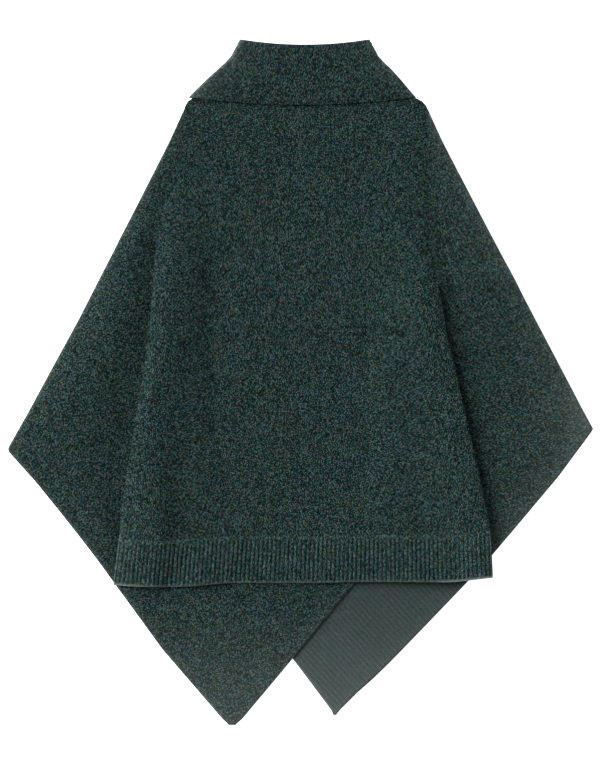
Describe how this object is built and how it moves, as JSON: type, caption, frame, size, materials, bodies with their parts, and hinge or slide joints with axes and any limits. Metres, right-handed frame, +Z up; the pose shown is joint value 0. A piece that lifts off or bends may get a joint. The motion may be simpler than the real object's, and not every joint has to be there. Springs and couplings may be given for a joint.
{
  "type": "knitted poncho sweater",
  "caption": "Knitted poncho sweater laid flat on its front: wide pointed side panels, ribbed back hem and a folded roll collar.",
  "frame": {"origin": "middle of the laid-out garment's box, on the surface that it lies on", "axes": "+X across the garment to the right as seen from above its back, +Y along it to the collar, +Z up from the surface"},
  "size_m": [0.879, 1.027, 0.0205],
  "materials": {
    "flecked_knit": "matt wool knit, teal green flecks on near black",
    "rib_knit": "matt flecked wool knit in one-by-one ribs",
    "plain_knit": "matt grey green wrong side with fine lines"
  },
  "bodies": {
    "root": {"front_panel": "plain_knit", "left_side_panel": "flecked_knit", "right_side_panel": "flecked_knit", "back_panel": "flecked_knit", "back_hem_rib": "rib_knit", "roll_collar": "flecked_knit"}
  },
  "joints": []
}
